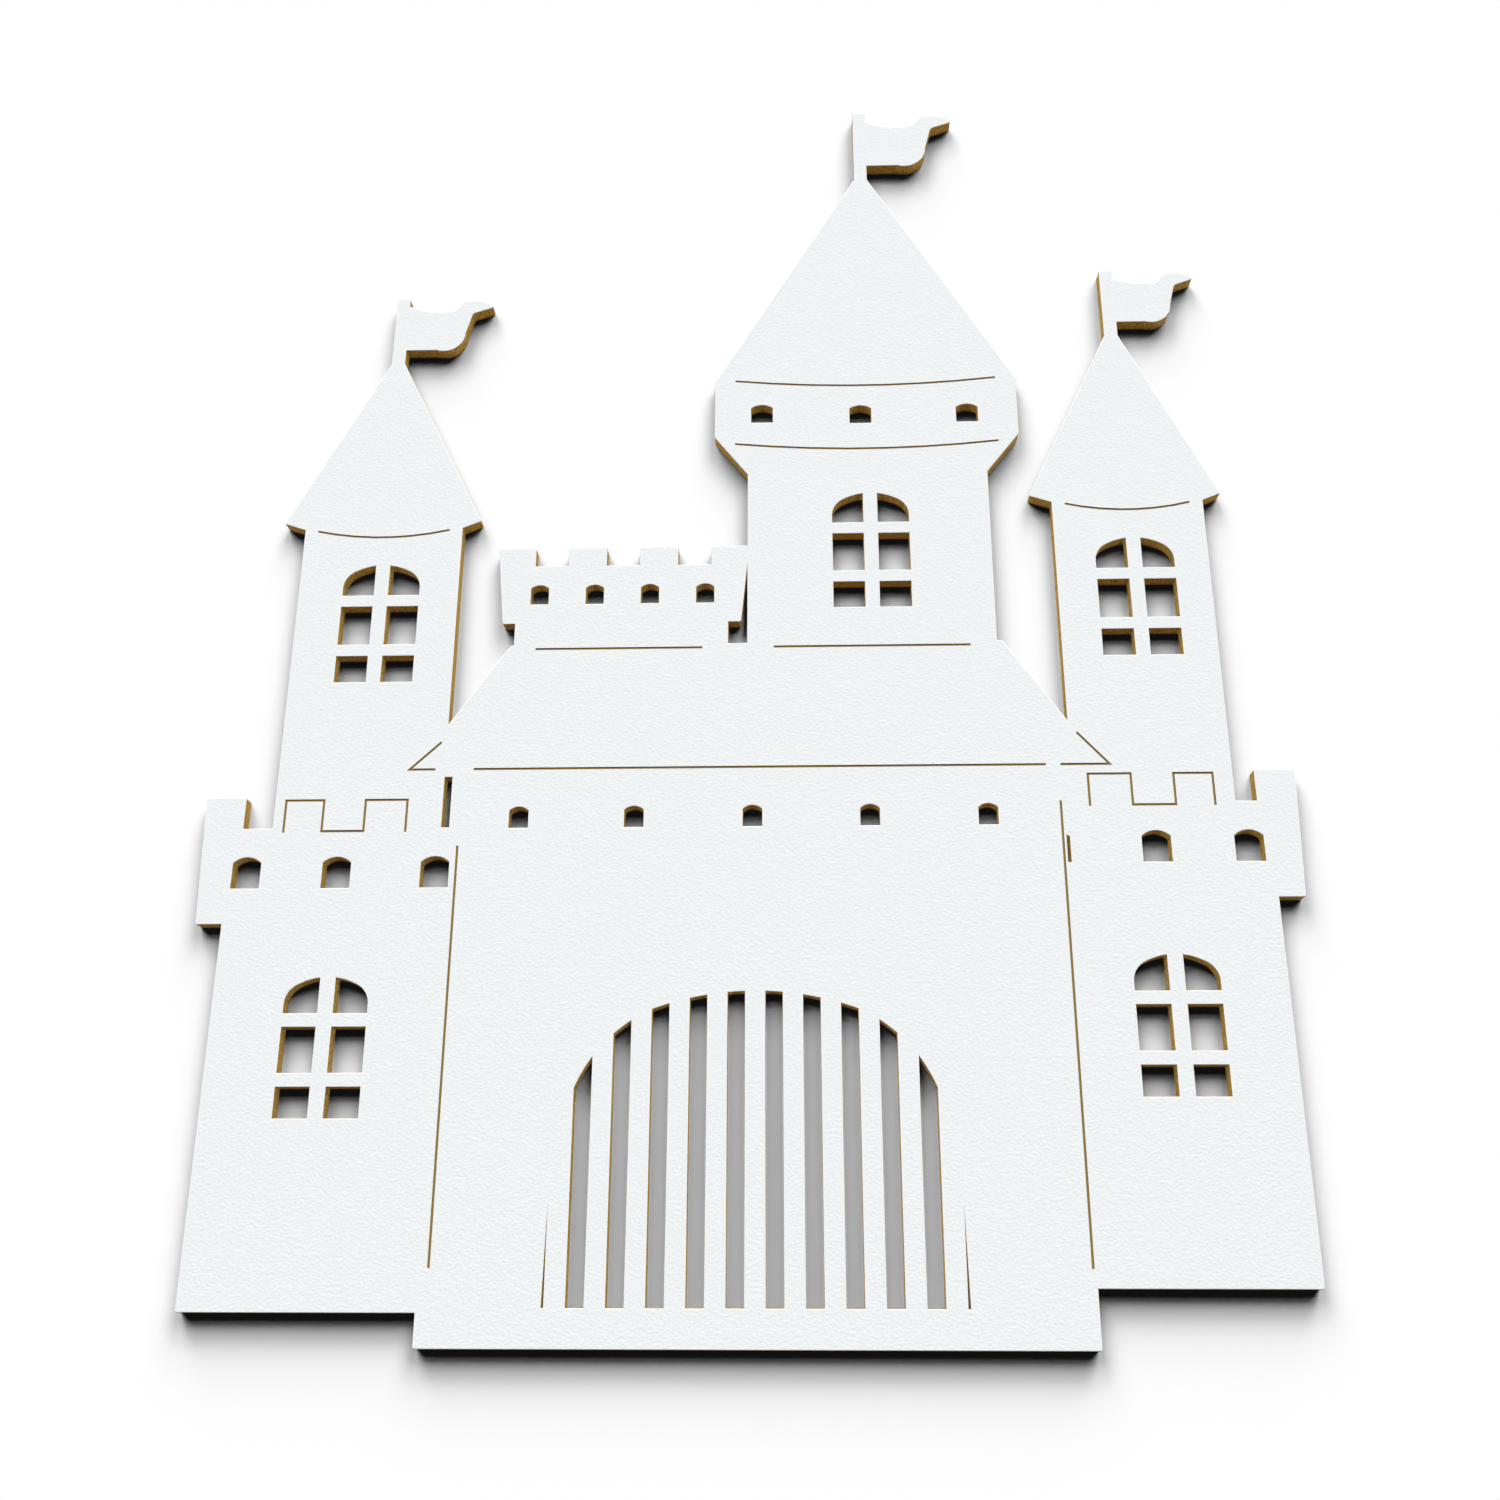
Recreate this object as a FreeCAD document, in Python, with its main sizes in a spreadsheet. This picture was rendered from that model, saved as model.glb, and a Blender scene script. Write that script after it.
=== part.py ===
import FreeCAD, Part
import os
import re
import Sketcher

# A castle cut from one sheet of white-faced card, lying face up.
# X runs along the front wall, Y up the castle and Z through the card.
# Every part of the drawing is one sketch, added to or cut from the same sheet,
# and all heights are measured from the foot of the front wall.
# Lengths are millimetres.

NODE = "castle_board"

doc = FreeCAD.newDocument("castle")
sheet = doc.addObject("Spreadsheet::Sheet", "Sizes")
body = doc.addObject("PartDesign::Body", "Board")
body.Label = NODE


SIZES = {
    # card
    "card_thickness": 1.5,
    "line_width": 0.25,
    "line_depth": 0.06,
    "hidden_overlap": 5.0,
    # front wall
    "wall_width": 65.2,
    "wall_top": 57.2,
    "wall_shoulder_width": 2.4,
    "wall_shoulder_drop": 4.7,
    "wall_line_foot": 7.3,
    "wall_line_left_inset": 1.05,
    "wall_line_left_drop": 7.65,
    "wall_line_right_inset": 0.35,
    "wall_line_right_drop": 3.15,
    "wall_window_shift": -0.3,
    "wall_window_second_shift": -0.15,
    "wall_window_pitch": 12.45,
    "wall_window_width": 2.05,
    "wall_window_drop": 5.7,
    "wall_window_height": 2.3,
    "wall_window_rise": 0.42,
    # gate
    "gate_sill": 3.7,
    "gate_width": 41.0,
    "gate_spring_rise": 9.8,
    "gate_shoulder_inset": 2.3,
    "gate_shoulder_height": 10.7,
    "gate_haunch_inset": 10.1,
    "gate_haunch_height": 8.0,
    "gate_crown_height": 1.8,
    "gate_side_bow": 0.43,
    "gate_shoulder_bow": 1.1,
    "gate_side_gap": 0.25,
    "bar_width": 2.1,
    # front towers
    "left_tower_width": 23.25,
    "left_tower_foot": 3.2,
    "left_tower_window_inset": 2.0,
    "right_tower_width": 21.3,
    "right_tower_foot": 5.5,
    "right_tower_window_inset": 2.4,
    "tower_corbel_rise": 38.0,
    "tower_corbel_reach": 2.75,
    "tower_head_height": 10.4,
    "tower_top_reach": 3.2,
    "tower_merlon_height": 3.45,
    "tower_merlon_width": 4.35,
    "tower_notch_width": 4.35,
    "tower_middle_merlon": 4.1,
    "tower_middle_notch": 4.5,
    "tower_last_merlon": 4.5,
    "tower_line_drop": 0.35,
    "tower_window_lift": 3.85,
    "tower_window_width": 3.0,
    "tower_window_height": 3.35,
    "tower_window_rise": 0.62,
    "tower_window_step": 9.6,
    "tower_window_last_step": 10.45,
    # back towers
    "back_tower_rise": 83.95,
    "left_back_step": 9.9,
    "left_back_width": 18.15,
    "right_back_step": 9.45,
    "right_back_width": 17.0,
    "eaves_reach": 2.3,
    "eaves_lift": 0.85,
    "eaves_shift": -0.2,
    "spire_height": 22.0,
    "spire_line_drop": 0.2,
    "spire_line_inset": 1.5,
    "spire_line_sag": 0.85,
    # main roof
    "roof_rise": 15.35,
    "roof_overhang": 5.05,
    "roof_top_inset": 5.5,
    "roof_line_shift": 0.3,
    "roof_line_inset": 1.95,
    "roof_line_lift": 0.9,
    "left_eave_reach": 4.7,
    "left_eave_run": 3.25,
    "left_eave_rise": 3.1,
    "left_eave_foot": 2.8,
    "right_eave_reach": 5.1,
    "right_eave_run": 3.25,
    "right_eave_rise": 3.6,
    "right_eave_foot": 5.2,
    # turret
    "turret_centre": -14.9,
    "turret_width": 23.8,
    "turret_corbel_rise": 2.55,
    "turret_corbel_reach": 1.4,
    "turret_head_height": 7.1,
    "turret_merlon_height": 2.3,
    "turret_top_reach": 2.3,
    "turret_notch_width": 3.7,
    "turret_notch_pitch": 8.06,
    "turret_line_inset": 2.65,
    "turret_line_shift": -0.2,
    "turret_window_lift": 2.4,
    "turret_window_pitch": 6.19,
    "turret_window_width": 2.0,
    "turret_window_height": 2.3,
    "turret_window_rise": 0.4,
    "base_line_drop": 0.5,
    # keep
    "keep_centre": 12.83,
    "keep_width": 27.45,
    "keep_shaft_rise": 21.0,
    "keep_flare_height": 4.9,
    "keep_flare_reach": 3.85,
    "keep_gallery_height": 7.55,
    "keep_spire_height": 28.65,
    "keep_line_inset": 2.92,
    "keep_curve_inset": 2.37,
    "keep_curve_sag": 0.82,
    "keep_curve_drop": 0.88,
    "keep_window_lift": 1.7,
    "keep_window_left_lift": 1.95,
    "keep_window_width": 2.5,
    "keep_window_height": 2.3,
    "keep_window_rise": 0.4,
    "keep_window_shift": -0.63,
    "keep_window_left_step": 11.45,
    "keep_window_right_step": 12.35,
    # poles and flags
    "pole_width": 1.6,
    "back_pole_shift": -0.1,
    "back_pole_height": 9.15,
    "back_flag_lift": 1.85,
    "left_flag_length": 10.15,
    "left_flag_height": 6.85,
    "right_flag_length": 9.45,
    "right_flag_height": 6.8,
    "keep_pole_shift": 0.12,
    "keep_pole_height": 10.2,
    "keep_flag_lift": 2.05,
    "keep_flag_length": 10.65,
    "keep_flag_height": 7.5,
    # six-paned windows
    "pane_window_width": 8.67,
    "lower_pane_height": 3.07,
    "middle_pane_height": 4.58,
    "upper_pane_height": 1.12,
    "pane_haunch_inset": 1.285,
    "pane_haunch_height": 1.82,
    "pane_haunch_bow": 0.29,
    "pane_crown_height": 0.75,
    "pane_mullion": 1.65,
    "pane_transom": 1.43,
    "front_left_window_step": 11.43,
    "front_left_window_rise": 18.2,
    "front_right_window_step": 10.12,
    "front_right_window_rise": 17.9,
    "back_window_shift": 0.3,
    "back_window_rise": 65.15,
    "great_window_shift": 0.22,
    "great_window_rise": 4.2,
}

BARS = 11

# Places and heights that follow from the sizes.
FOLLOWS = {
    "left_tower_face": "wall_width / 2 + left_tower_width",
    "right_tower_face": "wall_width / 2 + right_tower_width",
    "tower_notch_rise": "tower_corbel_rise + tower_head_height",
    "tower_top_rise": "tower_notch_rise + tower_merlon_height",
    "left_back_centre": "-(wall_width / 2 + left_back_step)",
    "left_back_top": "left_tower_foot + back_tower_rise",
    "right_back_centre": "wall_width / 2 + right_back_step",
    "right_back_top": "right_tower_foot + back_tower_rise",
    "bar_pitch": "(gate_width - bar_width - 2 * gate_side_gap) / %d" % (BARS - 1),
    "gate_shoulder_rise": "gate_spring_rise + gate_shoulder_height",
    "gate_haunch_rise": "gate_shoulder_rise + gate_haunch_height",
    "gate_crown_rise": "gate_haunch_rise + gate_crown_height",
    "roof_top": "wall_top + roof_rise",
    "left_eave_tip": "wall_width / 2 + left_eave_reach",
    "right_eave_tip": "wall_width / 2 + right_eave_reach",
    "base_line_height": "roof_top - base_line_drop",
    "turret_corbel_height": "roof_top + turret_corbel_rise",
    "turret_notch_height": "turret_corbel_height + turret_head_height",
    "turret_top": "turret_notch_height + turret_merlon_height",
    "keep_flare_foot": "roof_top + keep_shaft_rise",
    "keep_flare_top": "keep_flare_foot + keep_flare_height",
    "keep_gallery_width": "keep_width + 2 * keep_flare_reach",
    "keep_eaves": "keep_flare_top + keep_gallery_height",
    "keep_spire": "keep_eaves + keep_spire_height",
    "keep_pole_centre": "keep_centre + keep_pole_shift",
    "keep_pole_top": "keep_spire + keep_pole_height",
    "keep_window_centre": "keep_centre + keep_window_shift",
    "pane_window_spring": "lower_pane_height + middle_pane_height + upper_pane_height"
                          " + 2 * pane_transom",
    "front_left_window_centre": "-(wall_width / 2 + front_left_window_step)",
    "front_left_window_sill": "left_tower_foot + front_left_window_rise",
    "front_right_window_centre": "wall_width / 2 + front_right_window_step",
    "front_right_window_sill": "right_tower_foot + front_right_window_rise",
    "back_left_window_centre": "left_back_centre + back_window_shift",
    "back_left_window_sill": "left_tower_foot + back_window_rise",
    "back_right_window_centre": "right_back_centre + back_window_shift",
    "back_right_window_sill": "right_tower_foot + back_window_rise",
    "great_window_centre": "keep_centre + great_window_shift",
    "great_window_sill": "roof_top + great_window_rise",
}

for row, (alias, number) in enumerate(SIZES.items(), 1):
    sheet.set("A%d" % row, alias)
    sheet.set("B%d" % row, str(number))
    sheet.setAlias("B%d" % row, alias)
doc.recompute()


def bound(formula):
    """Turn a formula of size names into one that reads them from the sheet."""
    def cell(name):
        if name[0] in FOLLOWS:
            return "(%s)" % bound(FOLLOWS[name[0]])
        return "Sizes." + name[0]
    return re.sub(r"\b[a-z]+(?:_[a-z]+)+\b", cell, formula)


def value(formula):
    return float(sheet.evalExpression(bound(formula)))


def arc_radius(start, end, sag):
    """Formula for the radius of the arc over a chord that it leaves by sag."""
    chord = "((%s) - (%s))^2 + ((%s) - (%s))^2" % (end[0], start[0], end[1], start[1])
    return "((%s) / 4 + (%s)^2) / (2 * abs(%s))" % (chord, sag, sag)


def arc_through(start, end, sag):
    """The arc from start to end; a positive sag bulges to the right of the way."""
    across = (end - start).cross(FreeCAD.Vector(0, 0, 1)).normalize()
    return Part.Arc(start, (start + end) / 2 + across * sag, end)


def add_loop(sketch, corners):
    """Draw a closed loop. A corner is (x, y), or (x, y, sag) if an arc leads to it."""
    points = [FreeCAD.Vector(value(c[0]), value(c[1]), 0) for c in corners]
    curves = []
    for i, corner in enumerate(corners):
        if len(corner) == 3:
            curves.append(arc_through(points[i - 1], points[i], value(corner[2])))
        else:
            curves.append(Part.LineSegment(points[i - 1], points[i]))
    first = sketch.GeometryCount
    sketch.addGeometry(curves, False)
    start_pos = {}
    for i in range(len(corners)):
        begins = sketch.getPoint(first + i, 1).distanceToPoint(points[i - 1])
        ends = sketch.getPoint(first + i, 2).distanceToPoint(points[i - 1])
        start_pos[i] = 1 if begins < ends else 2
    rules = []
    formulas = []
    for i, corner in enumerate(corners):
        follower = (i + 1) % len(corners)
        end_pos = 3 - start_pos[i]
        rules.append(Sketcher.Constraint("Coincident", first + i, end_pos,
                                         first + follower, start_pos[follower]))
        for kind, formula in (("DistanceX", corner[0]), ("DistanceY", corner[1])):
            formulas.append((sketch.ConstraintCount + len(rules), formula))
            rules.append(Sketcher.Constraint(kind, -1, 1, first + i, end_pos, value(formula)))
        if len(corner) == 3:
            formula = arc_radius(corners[i - 1], corner, corner[2])
            formulas.append((sketch.ConstraintCount + len(rules), formula))
            rules.append(Sketcher.Constraint("Radius", first + i, value(formula)))
    sketch.addConstraint(rules)
    for index, formula in formulas:
        sketch.setExpression("Constraints[%d]" % index, bound(formula))


def new_sketch(name, loops, lift):
    sketch = body.newObject("Sketcher::SketchObject", name + "_drawing")
    planes = [f for f in body.Origin.OriginFeatures if f.Role == "XY_Plane"]
    sketch.AttachmentSupport = [(planes[0], "")]
    sketch.MapMode = "FlatFace"
    sketch.setExpression("AttachmentOffset.Base.z", bound(lift))
    for corners in loops:
        add_loop(sketch, corners)
    return sketch


def add_card(name, *loops):
    """Card as thick as the sheet inside each loop."""
    pad = body.newObject("PartDesign::Pad", name)
    pad.Profile = new_sketch(name, loops, "0")
    pad.setExpression("Length", bound("card_thickness"))
    pad.Refine = True


def cut_card(name, *loops):
    """Openings right through the sheet."""
    pocket = body.newObject("PartDesign::Pocket", name)
    pocket.Profile = new_sketch(name, loops, "card_thickness")
    pocket.Type = "ThroughAll"
    pocket.Refine = True


def cut_lines(name, *loops):
    """Lines cut a little way into the face."""
    pocket = body.newObject("PartDesign::Pocket", name)
    pocket.Profile = new_sketch(name, loops, "card_thickness")
    pocket.setExpression("Length", bound("line_depth"))


def mirrored(corners, side):
    """The loop as drawn for the right side (1), or turned over for the left (-1)."""
    return [tuple(["%d * (%s)" % (side, c[0]), c[1]] + ["%d * (%s)" % (side, sag) for sag in c[2:]])
            for c in corners]


def rectangle(left, low, right, high):
    return [(left, low), (right, low), (right, high), (left, high)]


def arched(centre, sill, width, height, rise):
    """A small opening with straight sides and a low round head."""
    left = "%s - %s / 2" % (centre, width)
    right = "%s + %s / 2" % (centre, width)
    spring = "%s + %s - %s" % (sill, height, rise)
    return [(left, sill), (right, sill), (right, spring), (left, spring, rise)]


def flag(pole_side, foot, length, height):
    """A flag that blows to the right; its wave is drawn in shares of its two sizes."""
    def at(along, up, *sag):
        return ("%s + %g * %s" % (pole_side, along, length),
                "%s + %g * %s" % (foot, up, height)) + sag
    hidden = "%s - pole_width / 2" % pole_side
    return [
        (hidden, foot),
        at(0.36, 0),
        at(0.69, 0.34, "0.105 * %s" % length),
        at(0.75, 0.68),
        at(0.80, 0.76, "-0.012 * %s" % length),
        at(1.0, 0.86),
        at(0.99, 0.92),
        at(0.64, 0.985, "0.035 * %s" % length),
        at(0.56, 0.85),
        at(0.50, 0.80, "-0.008 * %s" % length),
        at(0.0, 0.91, "-0.04 * %s" % length),
        (hidden, "%s + 0.91 * %s" % (foot, height)),
    ]


# Front towers: a straight shaft and a wider head on a square corbel. The head
# leans out a little towards its top and has one free merlon, at the outer corner.
def front_tower(face, foot):
    inner = "wall_width / 2 - hidden_overlap"
    head = "%s + tower_top_reach" % face
    return [
        (inner, foot),
        (face, foot),
        (face, "%s + tower_corbel_rise" % foot),
        ("%s + tower_corbel_reach" % face, "%s + tower_corbel_rise" % foot),
        (head, "%s + tower_top_rise" % foot),
        ("%s - tower_merlon_width" % head, "%s + tower_top_rise" % foot),
        ("%s - tower_merlon_width" % head, "%s + tower_notch_rise" % foot),
        (inner, "%s + tower_notch_rise" % foot),
    ]


def cut_tower_windows(name, side, face, foot, inset):
    sill = "%s + tower_corbel_rise + tower_window_lift" % foot
    outer = "%s - %s" % (face, inset)
    middle = "%s - tower_window_step" % outer
    inner = "%s - tower_window_last_step" % middle
    cut_card(name, *[mirrored(arched(place, sill, "tower_window_width", "tower_window_height",
                                     "tower_window_rise"), side)
                     for place in (outer, middle, inner)])


# Back towers: a shaft that rises behind the front one, eaves that sweep up to
# their tips, a tall spire and a pole.
def back_tower(side):
    centre = "%s_back_centre" % side
    top = "%s_back_top" % side
    foot = "%s_tower_foot + tower_notch_rise - hidden_overlap" % side
    shaft = "%s_back_width / 2" % side
    eaves_centre = "%s + eaves_shift" % centre
    eaves = "%s + eaves_reach" % shaft
    pole = "%s + back_pole_shift" % centre
    spire = "%s + spire_height" % top
    return [
        ("%s - %s" % (centre, shaft), foot),
        ("%s + %s" % (centre, shaft), foot),
        ("%s + %s" % (centre, shaft), top),
        ("%s + %s" % (eaves_centre, eaves), "%s + eaves_lift" % top),
        ("%s + pole_width / 2" % pole, spire),
        ("%s + pole_width / 2" % pole, "%s + back_pole_height" % spire),
        ("%s - pole_width / 2" % pole, "%s + back_pole_height" % spire),
        ("%s - pole_width / 2" % pole, spire),
        ("%s - (%s)" % (eaves_centre, eaves), "%s + eaves_lift" % top),
        ("%s - %s" % (centre, shaft), top),
    ]


def back_flag(side):
    pole_side = "%s_back_centre + back_pole_shift + pole_width / 2" % side
    return flag(pole_side, "%s_back_top + spire_height + back_flag_lift" % side,
                "%s_flag_length" % side, "%s_flag_height" % side)


TOWERS = [(-1, "left_tower_face", "left_tower_foot"), (1, "right_tower_face", "right_tower_foot")]

add_card("front_towers", *[mirrored(front_tower(face, foot), side) for side, face, foot in TOWERS])
for side in ("left", "right"):
    add_card("%s_back_tower" % side, back_tower(side))
    add_card("%s_flag" % side, back_flag(side))
cut_tower_windows("right_tower_windows", 1,
                  "right_tower_face", "right_tower_foot", "right_tower_window_inset")

# Front wall: it hides the inner sides of the front towers, with part of a window
# of the right one, and its head runs on behind the right tower.
add_card("front_wall",
         rectangle("-wall_width / 2", "0", "wall_width / 2", "wall_top + hidden_overlap"))
add_card("wall_head",
         rectangle("0", "wall_top - wall_shoulder_drop",
                   "wall_width / 2 + wall_shoulder_width", "wall_top + hidden_overlap"))
cut_tower_windows("left_tower_windows", -1,
                  "left_tower_face", "left_tower_foot", "left_tower_window_inset")

# Main roof: its eaves lie over the two back towers.
add_card("main_roof", [
    ("-(wall_width / 2 + roof_overhang)", "wall_top"),
    ("wall_width / 2 + roof_overhang", "wall_top"),
    ("wall_width / 2 - roof_top_inset", "roof_top"),
    ("-(wall_width / 2 - roof_top_inset)", "roof_top"),
])


# Turret: a head with three notches on a square corbel, leaning out to its top
# until its last merlon meets the keep.
def turret():
    def side(sign, reach):
        return "turret_centre %s (turret_width / 2 + %s)" % (sign, reach)
    corners = [
        (side("-", "0"), "roof_top - hidden_overlap"),
        (side("+", "0"), "roof_top - hidden_overlap"),
        (side("+", "0"), "turret_corbel_height"),
        (side("+", "turret_corbel_reach"), "turret_corbel_height"),
        (side("+", "turret_top_reach"), "turret_top"),
    ]
    for place in (1, 0, -1):
        middle = "turret_centre + %d * turret_notch_pitch" % place
        corners += [
            ("%s + turret_notch_width / 2" % middle, "turret_top"),
            ("%s + turret_notch_width / 2" % middle, "turret_notch_height"),
            ("%s - turret_notch_width / 2" % middle, "turret_notch_height"),
            ("%s - turret_notch_width / 2" % middle, "turret_top"),
        ]
    return corners + [
        (side("-", "turret_top_reach"), "turret_top"),
        (side("-", "turret_corbel_reach"), "turret_corbel_height"),
        (side("-", "0"), "turret_corbel_height"),
    ]


add_card("turret", turret())


# Keep: a shaft that flares to a gallery, under the tallest spire.
def keep():
    right_half = [
        ("keep_width / 2", "roof_top - hidden_overlap"),
        ("keep_width / 2", "keep_flare_foot"),
        ("keep_gallery_width / 2", "keep_flare_top"),
        ("keep_gallery_width / 2", "keep_eaves"),
        ("pole_width / 2", "keep_spire"),
        ("pole_width / 2", "keep_pole_top"),
    ]
    def centre(height):
        return "keep_pole_centre" if height in ("keep_spire", "keep_pole_top") else "keep_centre"
    right = [("%s + %s" % (centre(y), x), y) for x, y in right_half]
    left = [("%s - %s" % (centre(y), x), y) for x, y in reversed(right_half)]
    return right + left


add_card("keep", keep())
add_card("keep_flag", flag("keep_pole_centre + pole_width / 2", "keep_spire + keep_flag_lift",
                           "keep_flag_length", "keep_flag_height"))


# Small windows: five in the front wall, four in the turret, three in the gallery.
def wall_window(place, shift):
    return arched("wall_window_shift + %d * wall_window_pitch + %s" % (place, shift),
                  "wall_top - wall_window_drop", "wall_window_width", "wall_window_height",
                  "wall_window_rise")


cut_card("wall_windows", wall_window(-1, "wall_window_second_shift"),
         *[wall_window(place, "0") for place in (-2, 0, 1, 2)])
cut_card("turret_windows",
         *[arched("turret_centre + %g * turret_window_pitch" % place,
                  "turret_corbel_height + turret_window_lift",
                  "turret_window_width", "turret_window_height", "turret_window_rise")
           for place in (-1.5, -0.5, 0.5, 1.5)])
cut_card("gallery_windows",
         *[arched(place, "keep_flare_top + %s" % lift,
                  "keep_window_width", "keep_window_height", "keep_window_rise")
           for place, lift in (
               ("keep_window_centre - keep_window_left_step", "keep_window_left_lift"),
               ("keep_window_centre", "keep_window_lift"),
               ("keep_window_centre + keep_window_right_step", "keep_window_lift"))])

# Six-paned windows: a tall opening with a rounded head, then the mullion and the
# two transoms that stand in it.
PANED = ["front_left_window", "front_right_window", "great_window",
         "back_left_window", "back_right_window"]


def paned_opening(window):
    centre = "%s_centre" % window
    sill = "%s_sill" % window
    spring = "%s + pane_window_spring" % sill
    haunch = "%s + pane_haunch_height" % spring
    left = "%s - pane_window_width / 2" % centre
    right = "%s + pane_window_width / 2" % centre
    return [
        (left, sill),
        (right, sill),
        (right, spring),
        ("%s - pane_haunch_inset" % right, haunch, "pane_haunch_bow"),
        ("%s + pane_haunch_inset" % left, haunch, "pane_crown_height"),
        (left, spring, "pane_haunch_bow"),
    ]


def mullion(window):
    centre = "%s_centre" % window
    sill = "%s_sill" % window
    top = "%s + pane_window_spring + pane_haunch_height + pane_crown_height" % sill
    return rectangle("%s - pane_mullion / 2" % centre, "%s - pane_transom" % sill,
                     "%s + pane_mullion / 2" % centre, "%s + pane_transom" % top)


def transoms(window):
    left = "%s_centre - pane_window_width / 2 - pane_mullion" % window
    right = "%s_centre + pane_window_width / 2 + pane_mullion" % window
    lower = "%s_sill + lower_pane_height" % window
    upper = "%s + pane_transom + middle_pane_height" % lower
    return [rectangle(left, low, right, "%s + pane_transom" % low) for low in (lower, upper)]


cut_card("paned_windows", *[paned_opening(window) for window in PANED])
add_card("mullions", *[mullion(window) for window in PANED])
add_card("transoms", *[bar for window in PANED for bar in transoms(window)])

# Gate: a broad low arch whose sides lean in a little from the foot up, closed by
# a row of upright bars. The outer bars leave a thin wedge open at each side.
GATE_HALF = [
    ("gate_width / 2", "gate_sill"),
    ("gate_width / 2 - gate_side_gap", "gate_sill + gate_spring_rise"),
    ("gate_width / 2 - gate_shoulder_inset", "gate_sill + gate_shoulder_rise", "gate_side_bow"),
    ("gate_width / 2 - gate_haunch_inset", "gate_sill + gate_haunch_rise", "gate_shoulder_bow"),
]


def gate():
    right = list(GATE_HALF)
    bows = [corner[2] if len(corner) == 3 else None for corner in GATE_HALF]
    left = []
    for place in range(len(GATE_HALF) - 1, -1, -1):
        x, y = GATE_HALF[place][:2]
        bow = "gate_crown_height"
        if place + 1 < len(GATE_HALF):
            bow = bows[place + 1]
        left.append(("-(%s)" % x, y) if bow is None else ("-(%s)" % x, y, bow))
    return right + left


def gate_bar(place):
    middle = "(%g) * bar_pitch" % (place - (BARS - 1) / 2)
    return rectangle("%s - bar_width / 2" % middle, "gate_sill - bar_width / 2",
                     "%s + bar_width / 2" % middle, "gate_sill + gate_crown_rise + bar_width / 2")


cut_card("gate", gate())
add_card("gate_bars", *[gate_bar(place) for place in range(BARS)])


# Lines cut shallowly into the face, all of one width, where one building
# stands before another.
def upright_line(x, low, high):
    return rectangle("%s - line_width / 2" % x, low, "%s + line_width / 2" % x, high)


def level_line(centre, half, height):
    return rectangle("%s - (%s)" % (centre, half), "%s - line_width / 2" % height,
                     "%s + %s" % (centre, half), "%s + line_width / 2" % height)


def sagging_line(centre, half, height, sag):
    left = "%s - (%s)" % (centre, half)
    right = "%s + %s" % (centre, half)
    low = "%s - line_width / 2" % height
    high = "%s + line_width / 2" % height
    return [(left, low), (right, low, sag), (right, high), (left, high, "-(%s)" % sag)]


def battlement_line(face, foot):
    """The notched line of the merlons that stand before the back tower."""
    half = "line_width / 2"
    top = "%s + tower_top_rise - tower_line_drop" % foot
    low = "%s + tower_notch_rise - tower_line_drop" % foot
    first = "%s + tower_top_reach - tower_merlon_width - tower_notch_width" % face
    second = "%s - tower_middle_merlon" % first
    third = "%s - tower_middle_notch" % second
    fourth = "%s - tower_last_merlon" % third
    turns = [(first, "+", low, "-"), (first, "+", top, "+"), (second, "-", top, "+"),
             (second, "-", low, "+"), (third, "+", low, "+"), (third, "+", top, "+"),
             (fourth, "-", top, "+"), (fourth, "-", low, "-")]
    other = {"+": "-", "-": "+"}
    outer = [("%s %s %s" % (x, sx, half), "%s %s %s" % (y, sy, half)) for x, sx, y, sy in turns]
    inner = [("%s %s %s" % (x, other[sx], half), "%s %s %s" % (y, other[sy], half))
             for x, sx, y, sy in reversed(turns)]
    inner[0] = (inner[0][0], outer[-1][1])
    inner[-1] = (inner[-1][0], outer[0][1])
    return outer + inner


def eave_line(side):
    """The pointed corner of the main roof, with a mitred tip."""
    half = "line_width / 2"
    tip = "%s_eave_tip" % side
    run = "%s_eave_run" % side
    rise = "%s_eave_rise" % side
    end = "%s - %s_eave_foot" % (tip, side)
    level = "wall_top + roof_line_lift"
    slope = "sqrt(%s^2 + %s^2)" % (run, rise)
    mitre = "%s * (%s + %s) / %s" % (half, slope, run, rise)
    across = "%s * %s / %s" % (half, rise, slope)
    up = "%s * %s / %s" % (half, run, slope)
    return [
        ("%s + %s" % (tip, mitre), "%s - %s" % (level, half)),
        ("%s - %s + %s" % (tip, run, across), "%s + %s + %s" % (level, rise, up)),
        ("%s - %s - %s" % (tip, run, across), "%s + %s - %s" % (level, rise, up)),
        ("%s - %s" % (tip, mitre), "%s + %s" % (level, half)),
        (end, "%s + %s" % (level, half)),
        (end, "%s - %s" % (level, half)),
    ]


lines = [
    upright_line("wall_line_left_inset - wall_width / 2", "wall_line_foot",
                 "wall_top - wall_line_left_drop"),
    upright_line("wall_width / 2 - wall_line_right_inset", "wall_line_foot",
                 "wall_top - wall_line_right_drop"),
    level_line("roof_line_shift", "wall_width / 2 - roof_line_inset", "wall_top + roof_line_lift"),
    level_line("turret_centre + turret_line_shift", "turret_width / 2 - turret_line_inset",
               "base_line_height"),
    level_line("keep_centre", "keep_width / 2 - keep_line_inset", "base_line_height"),
]
for height in ("keep_eaves", "keep_flare_top - keep_curve_drop"):
    lines.append(sagging_line("keep_centre", "keep_gallery_width / 2 - keep_curve_inset",
                              height, "keep_curve_sag"))
for side in ("left", "right"):
    lines.append(sagging_line("%s_back_centre" % side, "%s_back_width / 2 - spire_line_inset" % side,
                              "%s_back_top - spire_line_drop" % side, "spire_line_sag"))
    lines.append(mirrored(eave_line(side), -1 if side == "left" else 1))
for side, face, foot in TOWERS:
    lines.append(mirrored(battlement_line(face, foot), side))
cut_lines("face_lines", *lines)

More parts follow.
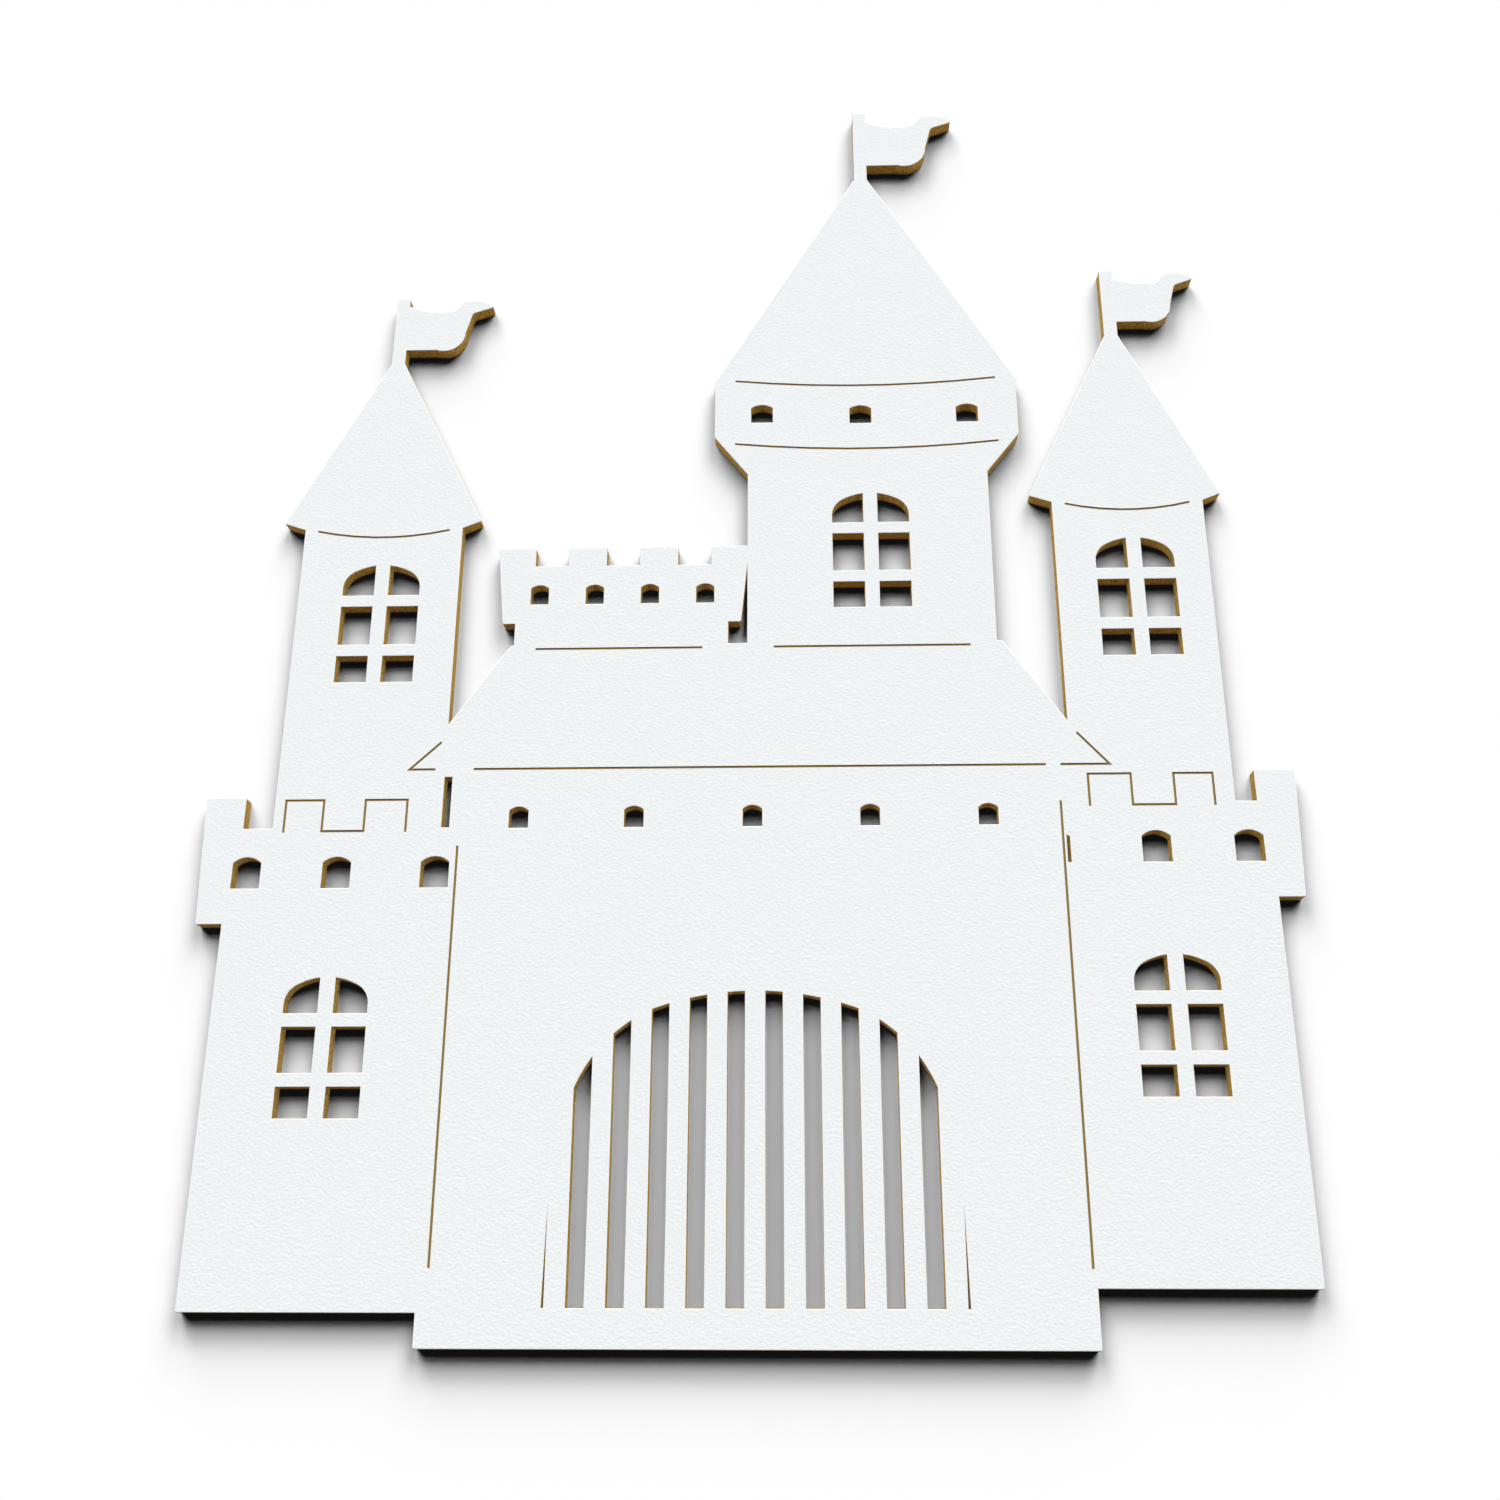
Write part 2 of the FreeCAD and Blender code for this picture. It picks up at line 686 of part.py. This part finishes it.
# The origin is the middle of the sheet's outline, on the face it lies on.
across = "(left_tower_face - right_tower_face) / 2"
body.setExpression("Placement.Base.x", bound(across))
body.setExpression("Placement.Base.y", bound("-keep_pole_top / 2"))
doc.recompute()

# Every object has to be sound, and every opening and line has to remove card.
for item in doc.Objects:
    if "Invalid" in item.State or "Error" in item.State:
        raise RuntimeError("%s could not be built" % item.Name)
features = [item for item in body.Group if item.isDerivedFrom("PartDesign::Feature")]
for before, after in zip(features, features[1:]):
    change = after.Shape.Volume - before.Shape.Volume
    cuts = after.TypeId == "PartDesign::Pocket"
    if (change >= 0) if cuts else (change <= 0):
        raise RuntimeError("%s changes nothing" % after.Name)
if body.Shape.isNull() or not body.Shape.isValid() or len(body.Shape.Solids) != 1:
    raise RuntimeError("the card is not one sound solid")

os.makedirs("parts", exist_ok=True)
body.Shape.exportStep("parts/%s.step" % NODE)
box = body.Shape.BoundBox
print("outline %.2f x %.2f x %.2f mm" % (box.XLength, box.YLength, box.ZLength))
print("low corner %.2f %.2f %.2f" % (box.XMin, box.YMin, box.ZMin))
print("volume %.1f mm3, %d faces" % (body.Shape.Volume, len(body.Shape.Faces)))
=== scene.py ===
import math

import bmesh
import bpy
from mathutils import Matrix, Vector
from mathutils.geometry import intersect_point_line


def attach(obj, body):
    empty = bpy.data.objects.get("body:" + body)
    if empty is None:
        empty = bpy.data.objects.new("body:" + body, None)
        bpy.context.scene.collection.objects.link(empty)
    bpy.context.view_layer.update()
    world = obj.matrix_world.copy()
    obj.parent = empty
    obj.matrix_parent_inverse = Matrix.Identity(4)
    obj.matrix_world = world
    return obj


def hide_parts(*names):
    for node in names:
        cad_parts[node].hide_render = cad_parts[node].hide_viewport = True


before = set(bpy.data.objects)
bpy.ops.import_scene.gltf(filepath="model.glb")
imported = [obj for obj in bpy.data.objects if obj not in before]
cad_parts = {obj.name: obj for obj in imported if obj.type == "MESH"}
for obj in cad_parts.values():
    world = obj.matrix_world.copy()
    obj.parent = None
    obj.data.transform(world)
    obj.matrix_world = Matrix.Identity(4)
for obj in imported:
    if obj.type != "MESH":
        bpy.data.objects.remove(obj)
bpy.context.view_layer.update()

# The castle is one sheet of solid brown board with a white paper skin on its face.
# A laser cuts its outline and its openings right through and engraves its lines, and
# the skin turns over a little at every cut.
MM = 0.001
CARD_TOP = 1.5 * MM
SAME_PLACE = 0.002 * MM
CORNER_RADIUS = 0.22 * MM
CORNER_TURN = math.radians(25)
RIM_WIDTH = 0.07 * MM
NARROWEST_TIP = math.radians(12)
LINE_CLEARANCE = 0.3 * MM
FLAT = math.radians(0.2)
LEVEL_PART = 0.1

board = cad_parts["castle_board"]
card = bpy.data.objects.new("castle_card", board.data.copy())
bpy.context.collection.objects.link(card)
card.data.materials.clear()
bpy.ops.object.select_all(action="DESELECT")
card.select_set(True)
bpy.context.view_layer.objects.active = card

bpy.ops.object.mode_set(mode="EDIT")
bpy.ops.mesh.customdata_custom_splitnormals_clear()
bpy.ops.mesh.select_all(action="SELECT")
bpy.ops.mesh.remove_doubles(threshold=SAME_PLACE)
bpy.ops.mesh.dissolve_limited(angle_limit=FLAT, delimit={"NORMAL"})


def on_top(vert):
    """Whether a corner of the mesh lies in the white face."""
    return abs(vert.co.z - CARD_TOP) < SAME_PLACE


def is_wall(face):
    """Whether a face is the side of a cut or of an engraved line."""
    return abs(face.normal.z) < LEVEL_PART


def select_edges(wanted):
    """Select, in edit mode, just the card's edges that wanted picks from the mesh."""
    bpy.ops.mesh.select_mode(type="EDGE")
    bpy.ops.mesh.select_all(action="DESELECT")
    mesh = bmesh.from_edit_mesh(card.data)
    mesh.normal_update()
    for edge in wanted(mesh):
        edge.select_set(True)
    mesh.select_flush_mode()
    bmesh.update_edit_mesh(card.data)


def outer_corners(mesh):
    """The upright edges where the outline turns, but not the many of a round one."""
    upright = [edge for edge in mesh.edges
               if (edge.verts[0].co - edge.verts[1].co).xy.length < SAME_PLACE
               and all(is_wall(face) for face in edge.link_faces)]
    return [edge for edge in upright
            if edge.calc_length() > 0.9 * CARD_TOP
            and edge.calc_face_angle_signed() > CORNER_TURN]


def rims(mesh, through):
    """The edges of the face over the walls of the openings, or over those of the lines."""
    found = []
    for edge in mesh.edges:
        walls = [face for face in edge.link_faces if is_wall(face)]
        if len(walls) == 1 and all(on_top(vert) for vert in edge.verts):
            reaches_back = min(vert.co.z for vert in walls[0].verts) < SAME_PLACE
            if reaches_back == through:
                found.append(edge)
    return found


def turned_rims(mesh):
    """The rims whose skin turns over: none at a needle-sharp tip or beside a line."""
    cuts = rims(mesh, True)
    lines = rims(mesh, False)

    def ends_in_needle(edge):
        for vert in edge.verts:
            way = edge.other_vert(vert).co - vert.co
            for other in vert.link_edges:
                if other in kept and other != edge:
                    if way.angle(other.other_vert(vert).co - vert.co) < NARROWEST_TIP:
                        return True
        return False

    def beside_line(edge):
        middle = (edge.verts[0].co + edge.verts[1].co) / 2
        for line in lines:
            near, share = intersect_point_line(middle, line.verts[0].co, line.verts[1].co)
            if 0 < share < 1 and (near - middle).length < LINE_CLEARANCE:
                return True
        return False

    kept = set(cuts)
    return [edge for edge in cuts if not ends_in_needle(edge) and not beside_line(edge)]


select_edges(outer_corners)
bpy.ops.mesh.bevel(offset=CORNER_RADIUS, segments=3, profile=0.5, clamp_overlap=True)
bpy.ops.mesh.select_all(action="SELECT")
bpy.ops.mesh.remove_doubles(threshold=SAME_PLACE)
select_edges(turned_rims)
bpy.ops.mesh.bevel(offset=RIM_WIDTH, segments=2, profile=0.5, clamp_overlap=False,
                   miter_outer="ARC", loop_slide=False)
bpy.ops.mesh.select_all(action="SELECT")
bpy.ops.mesh.remove_doubles(threshold=SAME_PLACE)

# The face is filled afresh between the turned rims, so that none of it overlaps.
bpy.ops.mesh.select_mode(type="FACE")
bpy.ops.mesh.select_all(action="DESELECT")
mesh = bmesh.from_edit_mesh(card.data)
for face in mesh.faces:
    face.select_set(all(on_top(vert) for vert in face.verts))
bmesh.update_edit_mesh(card.data)
bpy.ops.mesh.delete(type="FACE")
select_edges(lambda mesh: [edge for edge in mesh.edges if edge.is_boundary])
bpy.ops.mesh.fill(use_beauty=True)
bpy.ops.object.mode_set(mode="OBJECT")


def noise(nodes, links, place, scale, detail):
    """Noise on the card's own coordinates, stretched along each axis by scale."""
    mapping = nodes.new("ShaderNodeMapping")
    mapping.inputs["Scale"].default_value = scale
    links.new(place.outputs["Object"], mapping.inputs["Vector"])
    texture = nodes.new("ShaderNodeTexNoise")
    texture.inputs["Scale"].default_value = 1.0
    texture.inputs["Detail"].default_value = detail
    links.new(mapping.outputs["Vector"], texture.inputs["Vector"])
    return texture


GRAIN_DARK_AT, GRAIN_PALE_AT = 0.35, 0.65
CARD_SHINE = 0.03


def finish_of(name, dark, pale, scale, detail, roughness, bump_depth):
    """A matt finish that drifts from one colour to another, with a bump of its own."""
    material = bpy.data.materials.new(name)
    material.use_nodes = True
    nodes = material.node_tree.nodes
    links = material.node_tree.links
    shader = nodes["Principled BSDF"]
    shader.inputs["Roughness"].default_value = roughness
    shader.inputs["Specular IOR Level"].default_value = CARD_SHINE
    place = nodes.new("ShaderNodeTexCoord")
    grain = noise(nodes, links, place, scale, detail)
    ramp = nodes.new("ShaderNodeValToRGB")
    ramp.color_ramp.elements[0].position = GRAIN_DARK_AT
    ramp.color_ramp.elements[0].color = (*dark, 1)
    ramp.color_ramp.elements[1].position = GRAIN_PALE_AT
    ramp.color_ramp.elements[1].color = (*pale, 1)
    links.new(grain.outputs["Fac"], ramp.inputs["Fac"])
    links.new(ramp.outputs["Color"], shader.inputs["Base Color"])
    bump = nodes.new("ShaderNodeBump")
    bump.inputs["Strength"].default_value = 1.0
    bump.inputs["Distance"].default_value = bump_depth
    links.new(grain.outputs["Fac"], bump.inputs["Height"])
    links.new(bump.outputs["Normal"], shader.inputs["Normal"])
    return material


paper = finish_of("white_paper", (0.867, 0.895, 0.903), (0.897, 0.92, 0.927),
                  (3200, 3700, 3200), 3.0, 0.9, 0.026 * MM)
scorched = finish_of("scorched_edge", (0.15, 0.085, 0.012), (0.49, 0.305, 0.078),
                     (6500, 6500, 6500), 1.0, 0.85, 0.005 * MM)
engraved = finish_of("engraved_line", (0.27, 0.17, 0.045), (0.35, 0.225, 0.065),
                     (9000, 9000, 9000), 2.0, 0.9, 0.002 * MM)
raw_back = finish_of("raw_board_back", (0.40, 0.29, 0.17), (0.50, 0.37, 0.23),
                     (1200, 2600, 1200), 3.0, 0.95, 0.02 * MM)
for finish in (paper, scorched, engraved, raw_back):
    card.data.materials.append(finish)
PAPER, SCORCHED, ENGRAVED, RAW_BACK = range(4)
for face in card.data.polygons:
    height = face.center.z
    if face.normal.z < -0.5:
        face.material_index = RAW_BACK
    elif face.normal.z > LEVEL_PART and height > CARD_TOP - 0.5 * RIM_WIDTH:
        face.material_index = PAPER
    elif face.normal.z > 0.5:
        face.material_index = ENGRAVED
    else:
        face.material_index = SCORCHED

# Light that comes off the brown edges would tint the shadows, which are neutral. The
# lamps are sampled only by shadow rays, which the card still stops.
card.visible_diffuse = False
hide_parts("castle_board")
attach(card, "root")

# The floor is a plain white table top that runs out past every view. The camera sees it
# a shade brighter than it is, so that it turns white where the card's shadow ends.
TABLE_SIZE = 6.0
TABLE_BELOW_CARD = 0.02 * MM
TABLE_COLOUR = (0.8, 0.8, 0.8, 1)
TABLE_COLOUR_SEEN = (1.02, 1.02, 1.02, 1)


def seen_by_eye(nodes, links):
    """1 for what the camera sees, straight or in a shiny or clear surface, else 0."""
    ray = nodes.new("ShaderNodeLightPath")
    mirrored = nodes.new("ShaderNodeMath")
    mirrored.operation = "ADD"
    links.new(ray.outputs["Is Glossy Ray"], mirrored.inputs[0])
    links.new(ray.outputs["Is Transmission Ray"], mirrored.inputs[1])
    seen = nodes.new("ShaderNodeMath")
    seen.operation = "ADD"
    seen.use_clamp = True
    links.new(ray.outputs["Is Camera Ray"], seen.inputs[0])
    links.new(mirrored.outputs["Value"], seen.inputs[1])
    return seen.outputs["Value"]


bpy.ops.object.select_all(action="DESELECT")
bpy.ops.mesh.primitive_plane_add(size=TABLE_SIZE, location=(0, 0, -TABLE_BELOW_CARD))
floor = bpy.context.active_object
floor.name = "floor"
table_top = bpy.data.materials.new("white_table")
table_top.use_nodes = True
nodes = table_top.node_tree.nodes
links = table_top.node_tree.links
nodes.clear()
lit = nodes.new("ShaderNodeBsdfDiffuse")
tint = nodes.new("ShaderNodeMix")
tint.data_type = "RGBA"
tint.inputs["A"].default_value = TABLE_COLOUR
tint.inputs["B"].default_value = TABLE_COLOUR_SEEN
out = nodes.new("ShaderNodeOutputMaterial")
links.new(seen_by_eye(nodes, links), tint.inputs["Factor"])
links.new(tint.outputs["Result"], lit.inputs["Color"])
links.new(lit.outputs["BSDF"], out.inputs["Surface"])
floor.data.materials.append(table_top)


# A wide window stands beyond the top of the castle. Its bright panes, a pair in each of
# three rows, overlap into one soft shadow that is dark only close to the card.
def lamp(name, level, elevation, azimuth, width):
    """A far lamp, by its height over the table and its angle from straight up the castle."""
    data = bpy.data.lights.new(name, "SUN")
    data.energy = level
    data.angle = math.radians(width)
    data.cycles.use_multiple_importance_sampling = False
    light = bpy.data.objects.new(name, data)
    bpy.context.collection.objects.link(light)
    light.rotation_euler = (math.radians(elevation - 90), 0, math.radians(-azimuth))
    return data


TABLE_LEVEL = 0.985 * math.pi
PANES = {
    # share of the table's light, elevation, angle to each side, width
    "upper": (0.045, 58.0, 28.0, 7.0),
    "middle": (0.60, 33.6, 29.2, 34.2),
    "lower": (0.355, 15.8, 16.8, 27.4),
}
for row, (share, elevation, azimuth, width) in PANES.items():
    level = share / 2 * TABLE_LEVEL / math.sin(math.radians(elevation))
    lamp("window_%s_left" % row, level, elevation, -azimuth, width)
    lamp("window_%s_right" % row, level, elevation, azimuth, width)

# Three screens, two white ones at the sides and a brown one in front, stand level with
# the table, so that they brighten only the cut edges.
SCREENS = {
    # share of the table's light, angle, colour
    "left": (0.5, -90, (1.0, 1.0, 1.0)),
    "right": (0.5, 90, (1.0, 1.0, 1.0)),
    "front": (0.3, 180, (1.0, 0.76, 0.52)),
}
for side, (share, azimuth, colour) in SCREENS.items():
    screen = lamp("screen_" + side, share * math.pi, 0.0, azimuth, 0.0)
    screen.color = colour
    screen.use_shadow = False

# The rest of the room is nearly dark, and the camera sees it as plain white.
ROOM_GLOW, ROOM_SEEN = 0.005, 1.0
world = bpy.data.worlds.new("room")
world.use_nodes = True
bpy.context.scene.world = world
nodes = world.node_tree.nodes
links = world.node_tree.links
nodes.clear()
level = nodes.new("ShaderNodeMix")
level.data_type = "FLOAT"
level.inputs["A"].default_value = ROOM_GLOW
level.inputs["B"].default_value = ROOM_SEEN
room = nodes.new("ShaderNodeBackground")
out = nodes.new("ShaderNodeOutputWorld")
links.new(seen_by_eye(nodes, links), level.inputs["Factor"])
links.new(level.outputs["Result"], room.inputs["Strength"])
links.new(room.outputs["Background"], out.inputs["Surface"])
room.inputs["Color"].default_value = (1, 1, 1, 1)

# The camera looks down on the castle from over the front wall. Its lens is as long as
# its picture is wide, and its axes are given in the castle's own.
CAMERA_LENS = 36.0
CAMERA_PLACE = Vector((5.349, -65.76, 153.66)) * MM
RIGHT = (0.99949134, 0.00183535, -0.03183841)
UP = (0.00879582, 0.94375537, 0.33052751)
BACK = (0.03065431, -0.33063943, 0.94325918)
camera_data = bpy.data.cameras.new("camera")
camera_data.lens = CAMERA_LENS
camera_data.sensor_width = CAMERA_LENS
camera_data.clip_start = 10 * MM
camera = bpy.data.objects.new("camera", camera_data)
bpy.context.collection.objects.link(camera)
turn = Matrix((RIGHT, UP, BACK)).transposed()
camera.matrix_world = Matrix.Translation(CAMERA_PLACE) @ turn.to_4x4()
bpy.context.scene.camera = camera

bpy.context.scene.view_settings.view_transform = "Standard"
